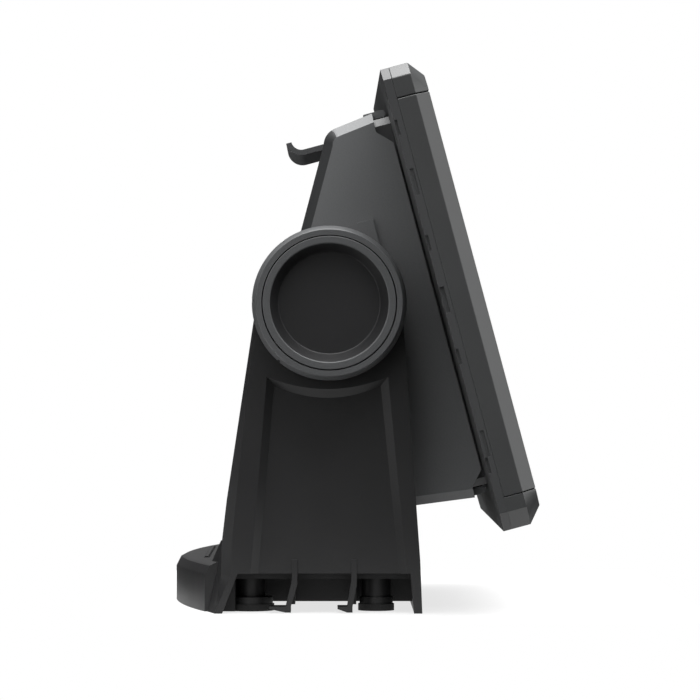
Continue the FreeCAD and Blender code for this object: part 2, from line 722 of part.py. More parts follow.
def cradle_screws():
    screws = []
    for x, b in plate_screw_places():
        disc = hcyl(2.6, PLATE_FRONT, PLATE_FRONT + 0.4, x, b)
        shank = hcyl(SCREW_R - 0.05, PLATE_FRONT - PLATE_T - 6, PLATE_FRONT, x, b)
        screws.append(disc.fuse(shank).removeSplitter())
    return group(screws)


def socket(x):
    """Collar with a flange inside the wall and a bore for the cable's plug."""
    t = CRADLE_WALL
    collar = socket_cylinder(x, SOCKET_R, -t, SOCKET_OUT)
    neck = socket_cylinder(x, SOCKET_R + SOCKET_NECK, -t, SOCKET_SHOULDER)
    flange = socket_cylinder(x, SOCKET_R + SOCKET_NECK + 2.0, -t - 2.2, -t)
    bore = socket_cylinder(x, SOCKET_R - 2.2, -t + 0.5, SOCKET_OUT + 1)
    return collar.fuse([neck, flange]).removeSplitter().cut(bore)


def power_socket():
    return socket(SOCKET_X[0])


def data_sockets():
    return group([socket(x) for x in SOCKET_X[1:]])


def socket_contacts():
    """Contact pins standing in the floor of each socket."""
    pins = []
    start = 0.5 - CRADLE_WALL
    for x in SOCKET_X:
        for i in range(4):
            angle = math.radians(45 + 90 * i)
            pin = socket_cylinder(x, 0.8, start, start + 7)
            centre, out = socket_frame(POWER_S)
            sideways = V(1, 0, 0) * math.cos(angle)
            updown = out.cross(V(1, 0, 0)) * math.sin(angle)
            pin.translate((sideways + updown) * 3.4)
            pins.append(pin)
    return group(pins)


INSERT_R = 8.0
INSERT_IN = EAR_OUT - 13.6


def pivot_insert(side):
    """Brass insert in the ear; the knob's stud turns in its bore."""
    insert = cyl_x(INSERT_R, INSERT_IN, EAR_OUT, 0, 0)
    insert = insert.cut(cyl_x(STUD_R + RUN, INSERT_IN + 1.5, EAR_OUT + 1, 0, 0))
    return insert if side > 0 else mirror_x(insert)


def friction_pad(side):
    pad = cyl_x(PAD_R, EAR_OUT, EAR_OUT + PAD_T, 0, 0)
    pad = pad.common(hbox(0, 200, -14.0, EAR_FRONT, -EAR_HALF, EAR_HALF))
    pad = pad.cut(cyl_x(INSERT_R, EAR_OUT - 1, EAR_OUT + PAD_T + 1, 0, 0))
    return pad if side > 0 else mirror_x(pad)


# ---- release lever
HOOK_HALF = 6.0
ARM_TOP_B = ROOF - 3.8
ARM_T = 2.2
HOOK_A0 = BULGE_BACK + POCKET_LIP_T + 0.8
HOOK_A1 = HOOK_A0 + 2.2
HOOK_B0 = POCKET_LIP_B - 1.2
CURL_A = 7.0
CURL_R = 4.5               # inner radius of the finger curl
LEVER_PIN_HALF = BAY_HALF + 4.5


def release_lever():
    """Wide finger plate with a curled end, on two knuckles that carry the hooks."""
    low = LEVER_TOP - LEVER_T
    plate = hbox(-LEVER_HALF, LEVER_HALF, CURL_A, LEVER_A + 1.5, low, LEVER_TOP)
    ring = cyl_x(CURL_R + LEVER_T, -LEVER_HALF, LEVER_HALF, -CURL_A, LEVER_TOP + CURL_R)
    ring = ring.cut(cyl_x(CURL_R, -LEVER_HALF - 1, LEVER_HALF + 1, -CURL_A, LEVER_TOP + CURL_R))
    a = CURL_A - CURL_R - LEVER_T - 1
    quarter = hbox(-LEVER_HALF, LEVER_HALF, a, CURL_A, low - 1, LEVER_TOP + CURL_R)
    parts = [plate, ring.common(quarter)]
    for x in (-POCKET_X, POCKET_X):
        x0 = x - HOOK_HALF
        x1 = x + HOOK_HALF
        parts.append(cyl_x(KNUCKLE_R, x0, x1, -LEVER_A, LEVER_B))
        parts.append(hbox(x0, x1, LEVER_A - 1, HOOK_A1, ARM_TOP_B - ARM_T, ARM_TOP_B))
        parts.append(hbox(x0, x1, HOOK_A0, HOOK_A1, HOOK_B0, ARM_TOP_B))
    lever = fuse(parts)
    lever = lever.cut(cyl_x(LEVER_PIN_R + RUN, -LEVER_HALF - 1, LEVER_HALF + 1, -LEVER_A, LEVER_B))
    return lever.cut(hbox(-9, 9, LEVER_A - 5, LEVER_A + 5, low - 1, LEVER_TOP + 1))


def lever_pin():
    return cyl_x(LEVER_PIN_R, -LEVER_PIN_HALF, LEVER_PIN_HALF, -LEVER_A, LEVER_B)


def lever_spring():
    """Small torsion spring coiled on the lever pin."""
    wire_r = 0.4
    coil_r = LEVER_PIN_R + 0.15 + wire_r
    length = 12.0
    helix = Part.makeHelix(1.5, length, coil_r)
    start = Part.makeCircle(wire_r, V(coil_r, 0, 0), V(0, 1, 0))
    coil = Part.Wire(helix).makePipeShell([Part.Wire(start)], True, True)
    coil.rotate(V(0, 0, 0), V(0, 1, 0), 90)
    coil.translate(V(-length / 2, -LEVER_A, LEVER_B))
    return coil


# ---- bail
ARM_FRONT = ((-47.2, 0.0), (-46.3, 23.0))
ARM_REAR = ((37.4, 49.0), (39.5, 31.0), (39.8, 17.0), (42.6, 0.0))
REAR_CHAMFER = (4.1, 4.4, 4.5, 0.0)
CHAMFER_X = 4.0
FOOT_REAR = (42.6, 55.2, 63.0)      # plan curve of the rear foot: at the arms, half way, in the middle
FOOT_MID_X = 62.0
FOOT_WALL_Z = 15.5
FINS = (8.0, -17.7)
FIN_SWEEP = (2.8, 1.8)     # how far each fin's foot lies behind its top
TOES = (7.0, 4.2)
FIN_HALF = 1.15
WINDOW_Y0 = ARM_FRONT[0][0] + FRONT_WALL
WINDOW_Y1 = ARM_REAR[3][0] - 2.9
RIB_FOOT = 2.8             # ribs stop this far above the deck


def tangent_point(y, z, side):
    """Where the line from (y, z) touches the boss circle; side is -1 in front, +1 behind."""
    dy = y - PIVOT_Y
    dz = z - PIVOT_Z
    dist = math.hypot(dy, dz)
    angle = math.atan2(dz, dy) + side * math.acos(BOSS_R / dist)
    return PIVOT_Y + BOSS_R * math.cos(angle), PIVOT_Z + BOSS_R * math.sin(angle)


def arm_wire(x, chamfer):
    """Arm outline at X = x, its rear edge moved forwards by chamfer times REAR_CHAMFER."""
    front = list(ARM_FRONT)
    rear = [(y - chamfer * c, z) for (y, z), c in zip(ARM_REAR, REAR_CHAMFER)]
    t_front = tangent_point(front[1][0], front[1][1], -1)
    t_rear = tangent_point(rear[0][0], rear[0][1], 1)
    pts = front + [t_front]
    edges = [line(V(x, *p), V(x, *q)) for p, q in zip(pts, pts[1:])]
    edges.append(arc(V(x, *t_front), V(x, PIVOT_Y, PIVOT_Z + BOSS_R), V(x, *t_rear)))
    pts = [t_rear] + rear + [front[0]]
    edges += [line(V(x, *p), V(x, *q)) for p, q in zip(pts, pts[1:])]
    return Part.Wire(edges)


def panel_wire(x, inset):
    """Recessed panel: straight sides, a dipping arc on top, open below the skin's edge."""
    top = PIVOT_Z - 31.7 - 1.2 * inset
    dip = PIVOT_Z - 37.0 - 1.2 * inset
    rear = 20.0 - inset
    front = -32.4 + inset
    foot = SKIN_EDGE - 1
    p = [V(x, rear, top), V(x, 27.1 - inset, foot), V(x, -40.6 + inset, foot), V(x, front, top)]
    mid = V(x, (rear + front) / 2, dip)
    return Part.Wire([line(p[0], p[1]), line(p[1], p[2]), line(p[2], p[3]), arc(p[3], mid, p[0])])


def fin(y, sweep, toe):
    """Thin upright in the open foot of an arm, swept back at the bottom and ending in a wedge-shaped toe."""
    h = FIN_HALF
    foot = y + sweep
    pts = [
        (y - h, SKIN_EDGE + 6), (y + h, SKIN_EDGE + 6), (y + h, SKIN_EDGE - 3), (foot + h, RIB_FOOT),
        (foot + h + toe, RIB_FOOT), (foot + h + toe, RIB_FOOT - 1.0), (foot + h, 0.3), (foot - h, 0.3),
        (foot - h, RIB_FOOT), (y - h, SKIN_EDGE - 5),
    ]
    return prism(pts, ARM_IN + 3, ARM_OUT - PANEL_DEPTH + 0.5)


def fins():
    return [fin(y, sweep, toe) for y, sweep, toe in zip(FINS, FIN_SWEEP, TOES)]


def arm_hollow():
    """Space inside an arm, open below."""
    w = FRONT_WALL
    top = PIVOT_Z - 50.0
    pts = [
        (WINDOW_Y0, -1.0), (ARM_FRONT[1][0] + w, 23.0), (-37.0, top), (20.0, top), (33.5, 31.0),
        (ARM_REAR[2][0] - w - 1, 17.0), (WINDOW_Y1, -1.0),
    ]
    return prism(pts, ARM_IN + 3, ARM_OUT - PANEL_DEPTH - 2.6)


def arm():
    """Right-hand arm of the bail."""
    inner = Part.Face(arm_wire(ARM_IN, 0)).extrude(V(ARM_OUT - CHAMFER_X - ARM_IN, 0, 0))
    outer = Part.makeLoft([arm_wire(ARM_OUT - CHAMFER_X, 0), arm_wire(ARM_OUT, 1)], True, True)
    solid = inner.fuse(outer)
    over = 0.2
    scale = (PANEL_DEPTH + over) / PANEL_DEPTH
    mouth = panel_wire(ARM_OUT + over, (1 - scale) * PANEL_SLOPE)
    wires = [mouth, panel_wire(ARM_OUT - PANEL_DEPTH, PANEL_SLOPE)]
    solid = solid.cut(Part.makeLoft(wires, True, True))
    solid = solid.cut(arm_hollow())
    return solid.cut(cyl_x(BUSH_R + 0.05, ARM_IN - 1, ARM_OUT + 1, PIVOT_Y, PIVOT_Z))


def window(x0):
    """The open lower end of an arm's outer side, from x0 outwards."""
    rear = ARM_REAR[2][0] - REAR_CHAMFER[2] - 2.7
    pts = [(WINDOW_Y0, -1.0), (WINDOW_Y0 + 1.6, SKIN_EDGE), (rear, SKIN_EDGE), (WINDOW_Y1, -1.0)]
    return prism(pts, x0, ARM_OUT + 1)


GUSSET_X = 79.0            # where the rear wall starts to climb towards the arm
GUSSET_Y = 34.0
GUSSET_Z = 31.0


def gusset():
    """Flared wall that carries the rear rim up into the back of the right-hand arm."""
    low = FOOT_WALL_Z + 1.5
    arm_low = ARM_REAR[2][0] - REAR_CHAMFER[2]
    arm_top = ARM_REAR[1][0] - REAR_CHAMFER[1]
    sections = (
        (GUSSET_X, 48.4, 48.4, 47.0, FOOT_WALL_Z - 0.5, FOOT_WALL_Z),
        (ARM_IN + 3, 46.2, 42.2, 40.2, low, GUSSET_Z),
        (ARM_OUT, FOOT_REAR[0], arm_low, arm_top, low, GUSSET_Z),
    )
    wires = []
    for x, y_foot, y_low, y_top, z_low, z_top in sections:
        pts = [(GUSSET_Y, 0.0), (y_foot, 0.0), (y_low, z_low), (y_top, z_top), (GUSSET_Y, z_top)]
        wires.append(polygon_x(pts, x))
    return Part.makeLoft(wires[:2], True, True).fuse(Part.makeLoft(wires[1:], True, True))


# height and inset of the rear foot's outline, from the top of its wall up to the flat top
SHOULDER = ((FOOT_WALL_Z, 0.0), (FOOT_WALL_Z + 1.3, 0.6), (BASE_TOP - 1.6, 2.2), (BASE_TOP, 5.2))


def foot_wire(inset, z):
    """Plan outline of the base at height z, its curved rear edge moved forwards by inset."""
    y_front = ARM_FRONT[0][0] - 1
    x = ARM_OUT
    side, mid, back = [y - inset for y in FOOT_REAR]
    p = [V(-x, y_front, z), V(x, y_front, z), V(x, side, z), V(0, back, z), V(-x, side, z)]
    right = arc(p[2], V(FOOT_MID_X, mid, z), p[3])
    left = arc(p[3], V(-FOOT_MID_X, mid, z), p[4])
    return Part.Wire([line(p[0], p[1]), line(p[1], p[2]), right, left, line(p[4], p[0])])


def base_solid():
    """Base between the arms: flat top with a rounded shoulder down to the upright rear wall."""
    rear = FOOT_REAR[2] + 2
    pts = [
        (ARM_FRONT[0][0], 0.0), (ARM_FRONT[1][0], BASE_TOP - 4.0), (-42.5, BASE_TOP), (rear, BASE_TOP),
        (rear, 0.0),
    ]
    between = prism(pts, -ARM_IN - 3, ARM_IN + 3)
    wires = [foot_wire(inset, z) for z, inset in SHOULDER]
    layers = [Part.Face(wires[0]).extrude(V(0, 0, -FOOT_WALL_Z))]
    for lower, upper in zip(wires, wires[1:]):
        layers.append(Part.makeLoft([lower, upper], True, True))
    return fuse(layers).common(between)


RIDGE_HALF = 54.0
RIDGE_H = 0.7


def ridge():
    """Low ridge along the flat top, just before its shoulder."""
    z = BASE_TOP
    pts = [(46.4, z - 1), (46.4, z), (47.0, z + RIDGE_H), (48.3, z + RIDGE_H), (48.9, z), (48.9, z - 1)]
    return prism(pts, -RIDGE_HALF, RIDGE_HALF)


REAR_CEILING = 11.5


CELL_ROWS = ((-43.5, -18.8), (-16.8, 7.9), (9.9, 37.5))
CELL_N = 7
REAR_ROW = (39.5, 50.0)


def cells():
    """Open cells under the base, with ribs left standing between them."""
    half = ARM_IN - 1.0
    pitch = (2 * half + RIB_T) / CELL_N
    ceiling = BASE_TOP - BASE_SKIN
    cuts = []
    for i in range(CELL_N):
        x0 = -half + i * pitch
        x1 = x0 + pitch - RIB_T
        for y0, y1 in CELL_ROWS:
            cuts.append(box(x0, x1, y0, y1, -1, ceiling))
        middle = abs(i - (CELL_N - 1) / 2)
        if middle < 3:
            y1 = REAR_ROW[1] + (3 - middle) * 2.0
            cuts.append(box(x0, x1, REAR_ROW[0], y1, -1, REAR_CEILING - BASE_SKIN))
    return cuts


def screw_columns():
    """Posts round the deck screws, from the pads up to the flat top."""
    posts = []
    for x, y, r in hole_places():
        posts.append(cyl_z(COLUMN_R, DECK_PAD_T, BASE_TOP - 1, x, y))
        posts.append(cyl_z(r - 0.6, DECK_PAD_T, DECK_PAD_T + 3, x, y))
    return posts


def hole_places():
    """Deck screw holes with the radius of the pad under each."""
    return [(sx * HOLE_X, y, r) for sx in (-1, 1) for y, r in ((-HOLE_Y, FRONT_PAD_R), (HOLE_Y, REAR_PAD_R))]


def throat():
    """Way from the open foot of the right-hand arm into the outer cells of the base."""
    pts = [(WINDOW_Y0, -1.0), (WINDOW_Y0, SKIN_EDGE - 3), (GUSSET_Y, SKIN_EDGE - 3), (GUSSET_Y, -1.0)]
    return prism(pts, ARM_IN - 2, ARM_IN + 4)


def bail_bracket():
    right = arm().fuse(gusset())
    base = base_solid()
    body = base.fuse([right, mirror_x(right), ridge()])
    side_cuts = [throat(), window(ARM_IN + 3)]
    relief = box(-ARM_IN, ARM_IN, WINDOW_Y0, CELL_ROWS[2][1] + 1, -1, RIB_FOOT)
    body = body.cut([relief] + cells() + side_cuts + [mirror_x(c) for c in side_cuts])
    uprights = fins()
    body = body.fuse(uprights + [mirror_x(f) for f in uprights] + screw_columns())
    for x, y, r in hole_places():
        body = body.cut(cyl_z(r + 0.2, -1, DECK_PAD_T, x, y))
        body = body.cut(cyl_z(HOLE_R, -1, BASE_TOP + 1, x, y))
        body = body.cut(cyl_z(5.2, BASE_TOP - 2.0, BASE_TOP + 1, x, y))
    return body.removeSplitter()


def deck_pads(y, r):
    pads = []
    for x in (-HOLE_X, HOLE_X):
        pads.append(cyl_z(r, 0, DECK_PAD_T, x, y).cut(cyl_z(HOLE_R, -1, DECK_PAD_T + 1, x, y)))
    return group(pads)


def pivot_bush(side):
    bush = cyl_x(BUSH_R, ARM_IN, ARM_OUT, PIVOT_Y, PIVOT_Z)
    bush = bush.cut(cyl_x(STUD_R + RUN, ARM_IN - 1, ARM_OUT + 1, PIVOT_Y, PIVOT_Z))
    return bush if side > 0 else mirror_x(bush)


# ---- knobs
WASHER_R = 14.0
RING_FLOOR = 4.0           # thickness of the ring's back plate


def turned(points):
    """Solid of revolution about the tilt axis from (x, r) points."""
    wire = Part.makePolygon([V(x, PIVOT_Y + r, PIVOT_Z) for x, r in points + points[:1]])
    return Part.Face(wire).revolve(V(0, PIVOT_Y, PIVOT_Z), V(1, 0, 0), 360)


def knob_ring(side):
    """Outer ring with a back plate; small notches are cut round its front edge."""
    r = KNOB_R
    inner = KNOB_SPLIT_R + 0.1
    pts = [
        (KNOB_BACK, STUD_R + 0.3), (KNOB_BACK, r - 1.5), (KNOB_BACK + 1.5, r), (KNOB_BACK + 8.0, r),
        (KNOB_FACE - 1.0, r - KNOB_TAPER), (KNOB_FACE, r - KNOB_TAPER - 0.7), (KNOB_FACE, inner),
        (KNOB_BACK + RING_FLOOR, inner),
        (KNOB_BACK + RING_FLOOR, STUD_R + 0.3),
    ]
    ring = turned(pts)
    cuts = []
    for turn in NOTCHES:
        angle = math.radians(turn)
        y = PIVOT_Y + r * math.sin(angle)
        z = PIVOT_Z + r * math.cos(angle)
        cuts.append(cyl_x(NOTCH_R, KNOB_BACK + 4.0, KNOB_FACE - 2.0, y, z))
    ring = ring.cut(cuts)
    return ring if side > 0 else mirror_x(ring)


def knob_cap(side):
    """Dished cap that fills the ring and grips the stud's head."""
    back = KNOB_BACK + RING_FLOOR
    floor = KNOB_FACE - DISH_DEPTH
    pts = [
        (back, KNOB_SPLIT_R - 0.3), (KNOB_FACE, KNOB_SPLIT_R - 0.3), (KNOB_FACE, DISH_R),
        (floor, DISH_FLOOR_R), (floor, 0.0), (back + STUD_HEAD_T + 0.1, 0.0),
        (back + STUD_HEAD_T + 0.1, STUD_HEAD_R + 0.1), (back, STUD_HEAD_R + 0.1),
    ]
    cap = turned(pts)
    return cap if side > 0 else mirror_x(cap)


STUD_HEAD_R = 7.5
STUD_HEAD_T = 6.0


def knob_stud(side):
    """Steel stud: its head sits in the cap, its shank reaches into the cradle's insert."""
    back = KNOB_BACK + RING_FLOOR
    shank = cyl_x(STUD_R, INSERT_IN + 2.0, back, PIVOT_Y, PIVOT_Z)
    disc = cyl_x(STUD_HEAD_R, back, back + STUD_HEAD_T, PIVOT_Y, PIVOT_Z)
    stud = shank.fuse(disc).removeSplitter()
    return stud if side > 0 else mirror_x(stud)


def knob_washer(side):
    washer = cyl_x(WASHER_R, ARM_OUT, ARM_OUT + WASHER_T, PIVOT_Y, PIVOT_Z)
    washer = washer.cut(cyl_x(STUD_R + RUN, ARM_OUT - 1, KNOB_BACK + 1, PIVOT_Y, PIVOT_Z))
    return washer if side > 0 else mirror_x(washer)


# ---- write one file per sub-part
def save(name, shape):
    shape.exportStep("parts/" + name + ".step")


def main():
    os.makedirs("parts", exist_ok=True)
    left, right, top, bottom = trims()
    head_parts = {
        "side_trim_left": left, "side_trim_right": right, "top_trim": top, "bottom_trim": bottom,
        "bezel_frame": bezel_frame(), "cover_glass": cover_glass(), "lcd_panel": lcd_panel(),
        "rear_case": rear_case(), "case_gasket": gasket(0), "main_board": main_board(),
        "heat_spreader": heat_spreader(), "gps_antenna": gps_antenna(), "case_screws": case_screws(),
        "dock_plug": dock_plug(), "vent_plug": vent_plug(), "card_reader": card_reader(),
        "card_door": card_door(), "door_pin": door_pin(), "power_key": power_key(),
        "key_switch": key_switch(), "cradle_shell": cradle_shell(), "cradle_plate": cradle_plate(),
        "cradle_screws": cradle_screws(), "dock_socket": dock_socket(), "dock_seal": dock_seal(),
        "power_socket": power_socket(), "data_sockets": data_sockets(),
        "socket_contacts": socket_contacts(), "release_lever": release_lever(),
        "lever_pin": lever_pin(), "lever_spring": lever_spring(),
    }
    for side, word in ((-1, "left"), (1, "right")):
        head_parts["pivot_insert_" + word] = pivot_insert(side)
        head_parts["friction_pad_" + word] = friction_pad(side)
    for name, shape in head_parts.items():
        save(name, head(shape))
    save("bail_bracket", bail_bracket())
    save("deck_pads_front", deck_pads(-HOLE_Y, FRONT_PAD_R))
    save("deck_pads_rear", deck_pads(HOLE_Y, REAR_PAD_R))
    for side, word in ((-1, "left"), (1, "right")):
        save("pivot_bush_" + word, pivot_bush(side))
        save("knob_ring_" + word, knob_ring(side))
        save("knob_cap_" + word, knob_cap(side))
        save("knob_stud_" + word, knob_stud(side))
        save("knob_washer_" + word, knob_washer(side))


main()
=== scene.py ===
"""Looks of the chartplotter on its bail mount: softened edges, finishes, camera, light and floor.

All sizes are metres in the part's own frame: +Z up, the screen faces -Y, +X to the right of someone
facing the screen, origin on the deck at the centre of the four screw holes.
"""

import json
from math import radians

import bpy
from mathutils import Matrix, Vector


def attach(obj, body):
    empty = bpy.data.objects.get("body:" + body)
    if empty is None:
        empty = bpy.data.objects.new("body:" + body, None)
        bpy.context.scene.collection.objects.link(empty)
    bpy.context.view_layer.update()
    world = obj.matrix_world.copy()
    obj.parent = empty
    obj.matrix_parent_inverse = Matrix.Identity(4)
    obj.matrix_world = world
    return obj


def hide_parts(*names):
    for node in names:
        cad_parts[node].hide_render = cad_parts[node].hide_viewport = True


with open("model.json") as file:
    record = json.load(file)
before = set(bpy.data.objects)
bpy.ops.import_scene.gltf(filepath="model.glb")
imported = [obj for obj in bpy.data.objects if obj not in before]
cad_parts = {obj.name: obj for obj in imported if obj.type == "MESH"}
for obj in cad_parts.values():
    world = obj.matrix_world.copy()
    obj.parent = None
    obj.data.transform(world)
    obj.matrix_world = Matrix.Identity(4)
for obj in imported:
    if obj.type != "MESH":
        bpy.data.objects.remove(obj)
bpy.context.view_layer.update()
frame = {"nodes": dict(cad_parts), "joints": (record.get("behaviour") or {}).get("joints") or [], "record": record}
scene = bpy.context.scene
MM = 0.001


# ---------------------------------------------------------------- camera
EYE = Vector((-1939.0, -7.3, 110.4)) * MM       # square to the left side, level with the knob's lower edge
AIM = Vector((1.0, -0.00473, 0.00189))          # a touch to the front and up, which frames the object
LENS = 217.5                                    # on a 36 mm sensor, seen from two metres

camera_data = bpy.data.cameras.new("side_camera")
camera_data.lens = LENS
camera_data.sensor_width = 36.0
camera_data.clip_end = 20.0
camera = bpy.data.objects.new("side_camera", camera_data)
camera.location = EYE
camera.rotation_euler = AIM.to_track_quat("-Z", "Y").to_euler()
scene.collection.objects.link(camera)
scene.camera = camera
scene.view_settings.view_transform = "Standard"


# ---------------------------------------------------------------- materials
def linear(code):
    """A hex sRGB colour as linear RGBA."""
    parts = [int(code[i:i + 2], 16) / 255 for i in (1, 3, 5)]
    return tuple(c / 12.92 if c <= 0.04045 else ((c + 0.055) / 1.055) ** 2.4 for c in parts) + (1.0,)


def add(tree, kind, settings=None, **links):
    """Adds a node; settings are attributes or input values, links are input name to output socket."""
    node = tree.nodes.new(kind)
    for key, value in (settings or {}).items():
        if key in node.inputs:
            node.inputs[key].default_value = value
        else:
            setattr(node, key, value)
    for key, socket in links.items():
        tree.links.new(socket, node.inputs[key.replace("_", " ")])
    return node


def start(name, **values):
    """An empty material with one Principled shader: (material, tree, shader)."""
    material = bpy.data.materials.new(name)
    material.use_nodes = True
    tree = material.node_tree
    tree.nodes.clear()
    shader = add(tree, "ShaderNodeBsdfPrincipled")
    for key, value in values.items():
        shader.inputs[key.replace("_", " ")].default_value = value
    add(tree, "ShaderNodeOutputMaterial", Surface=shader.outputs["BSDF"])
    return material, tree, shader


CLOUD = 22 * MM           # size of the patches of slightly different gloss
GRAIN_STRENGTH = 0.35


def grained(name, dark, light, rough, spread, grain_mm, depth_mm, **values):
    """A fine-grained surface, as a spark-eroded tool leaves on moulded plastic.

    The grain scatters light, so the surface is satin. The cloudy patches come from how the melt filled
    the tool. Ink, film, solder mask and ceramic are made here too, with a very shallow or pale grain.
    """
    material, tree, shader = start(name, **values)
    place = add(tree, "ShaderNodeTexCoord").outputs["Object"]
    cloud = add(tree, "ShaderNodeTexNoise", {"Scale": 1 / CLOUD, "Detail": 3.0}, Vector=place)
    grain = add(tree, "ShaderNodeTexNoise", {"Scale": 1 / (grain_mm * MM), "Detail": 2.0}, Vector=place)
    tone = add(tree, "ShaderNodeMix", {"data_type": "RGBA"})
    tone.inputs[6].default_value = linear(dark)
    tone.inputs[7].default_value = linear(light)
    tree.links.new(grain.outputs["Fac"], tone.inputs[0])
    gloss = add(tree, "ShaderNodeMapRange", {"To Min": rough - spread, "To Max": rough + spread},
                Value=cloud.outputs["Fac"])
    bump = add(tree, "ShaderNodeBump", {"Strength": GRAIN_STRENGTH, "Distance": depth_mm * MM},
               Height=grain.outputs["Fac"])
    tree.links.new(tone.outputs[2], shader.inputs["Base Color"])
    tree.links.new(gloss.outputs["Result"], shader.inputs["Roughness"])
    tree.links.new(bump.outputs["Normal"], shader.inputs["Normal"])
    return material


MARK_PITCH = 1.2 * MM
MARK_DEPTH = 0.02 * MM
MARK_STRENGTH = 0.1


def streaked_metal(name, tint, rough):
    """Bare metal with fine marks from the lathe or the rolls."""
    material, tree, shader = start(name, Metallic=1.0, Roughness=rough)
    shader.inputs["Base Color"].default_value = linear(tint)
    place = add(tree, "ShaderNodeTexCoord").outputs["Object"]
    marks = add(tree, "ShaderNodeTexWave", {"Scale": 1 / MARK_PITCH, "Distortion": 0.4}, Vector=place)
    bump = add(tree, "ShaderNodeBump", {"Strength": MARK_STRENGTH, "Distance": MARK_DEPTH},
               Height=marks.outputs["Fac"])
    tree.links.new(bump.outputs["Normal"], shader.inputs["Normal"])
    return material


# Grain of 0.5 to 0.7 mm is drawn a little coarser than the tool's own, so that it shows at this size.
# ABS, fine grain: the smoothest of the blacks, with a clear sheen where it faces a light.
abs_trim = grained("abs_fine_moulded", "#1e1f20", "#282929", 0.44, 0.04, 0.6, 0.05, IOR=1.53)
# ABS, medium grain: flatter and darker than the trim in front of it.
abs_case = grained("abs_moulded_case", "#1b1c1d", "#232425", 0.50, 0.05, 0.6, 0.05, IOR=1.53)
# ASA, coarser grain: the greyest plastic here, soft and even on its large faces.
asa_cradle = grained("asa_moulded_cradle", "#444546", "#4e4f50", 0.50, 0.05, 0.7, 0.08, IOR=1.53)
# The same ASA on the cradle's back and chamfers, with a closer grain, painted darker as shade on the faces that
# turn rearward.
asa_back_painted_shade = grained("asa_painted_shade_back", "#101112", "#161718", 0.48, 0.05, 0.6, 0.05, IOR=1.50,
                   Specular_IOR_Level=0.30)
# ASA again, in the plain black of the small parts.
asa_lever = grained("asa_moulded_lever", "#28292a", "#303132", 0.48, 0.05, 0.6, 0.06, IOR=1.53)
# Glass-filled nylon: near black, with a dry look and faint cloudy patches.
nylon_bail = grained("nylon_glass_filled_moulded", "#070708", "#0e0e0f", 0.48, 0.05, 0.7, 0.07, IOR=1.53,
                     Specular_IOR_Level=0.38)
# Nylon in the knob's dished cap: black and a little smoother than the arm.
nylon_knob = grained("nylon_moulded_knob", "#0f0f10", "#161617", 0.50, 0.04, 0.6, 0.05, IOR=1.50,
                     Specular_IOR_Level=0.30)
# Soft grip moulded round the knob: a paler, powdery black.
knob_grip = grained("tpe_overmoulded_grip", "#313233", "#3b3c3d", 0.50, 0.04, 0.6, 0.05, IOR=1.52,
                    Specular_IOR_Level=0.40)
# ABS inside the case, seen only through gaps: plain and dull.
abs_inner = grained("abs_moulded_inner", "#202123", "#292a2c", 0.48, 0.05, 0.6, 0.04, IOR=1.53)
# Ink printed on the back of the glass: a deep even black round the picture.
printed_border = grained("ceramic_ink_printed", "#050506", "#070708", 0.30, 0.02, 0.4, 0.002, IOR=1.50,
                         Specular_IOR_Level=0.05)
# EPDM seals and pads: the dullest black, almost without a highlight.
epdm_rubber = grained("epdm_moulded_rubber", "#101010", "#171717", 0.78, 0.05, 0.8, 0.05, IOR=1.50)
# FR4 under solder mask: green with a wet gloss.
laminate = grained("fr4_solder_masked", "#0b3a22", "#10472b", 0.35, 0.05, 1.5, 0.02, IOR=1.50)
# Fired ceramic of the antenna patch: chalky and pale.
fired_ceramic = grained("ceramic_fired_patch", "#b9b2a2", "#c8c1b2", 0.55, 0.05, 0.5, 0.02, IOR=1.60)
# Turned stainless steel: bright, with fine rings that stretch its highlights.
stainless = streaked_metal("stainless_turned", "#b9babb", 0.30)
# Turned brass contacts and inserts: warm and bright.
brass = streaked_metal("brass_turned", "#b8954f", 0.32)
# Rolled aluminium sheet: pale and softly streaked.
aluminium = streaked_metal("aluminium_rolled", "#c4c6c9", 0.40)
# Strengthened glass with a coating that takes most of its reflection away: a dark, sharp mirror.
glass, _, _ = start("glass_strengthened_coated", Roughness=0.03, IOR=1.52, Transmission_Weight=1.0,
                    Specular_IOR_Level=0.15)
# Polariser film bonded to the glass without an air gap: a switched-off panel, blue-black.
panel = grained("polariser_film_bonded", "#0a0c10", "#0c0e13", 0.25, 0.02, 0.4, 0.002, IOR=1.49,
                Specular_IOR_Level=0.05)

FINISH = {
    "trim_plastic": abs_trim, "case_plastic": abs_case, "cradle_plastic": asa_cradle,
    "bail_plastic": nylon_bail, "knob_plastic": nylon_knob, "lever_plastic": asa_lever,
    "inner_plastic": abs_inner, "cover_glass": glass, "lcd": panel, "rubber": epdm_rubber,
    "board": laminate, "ceramic": fired_ceramic, "aluminium": aluminium, "steel": stainless,
    "brass": brass,
}
OWN_FINISH = {"knob_ring_left": knob_grip, "knob_ring_right": knob_grip, "bezel_frame": printed_border}
slot_of = {s["node"]: s["material_slot"] for s in frame["record"]["subparts"]}
body_with = {n: b for b, nodes in frame["record"]["behaviour"]["bodies"].items() for n in nodes}


def finish_of(name):
    return OWN_FINISH.get(name, FINISH[slot_of[name]])


def finish_as(piece, material):
    piece.data.materials.clear()
    piece.data.materials.append(material)


for name, node in frame["nodes"].items():
    for i in range(len(node.data.materials)):
        node.data.materials[i] = finish_of(name)


# ---------------------------------------------------------------- modelling helpers
def deselect():
    bpy.ops.object.select_all(action="DESELECT")


def choose(piece):
    deselect()
    piece.select_set(True)
    bpy.context.view_layer.objects.active = piece


def apply_all(piece):
    """Applies every modifier of the piece in turn."""
    choose(piece)
    for modifier in list(piece.modifiers):
        bpy.ops.object.modifier_apply(modifier=modifier.name)


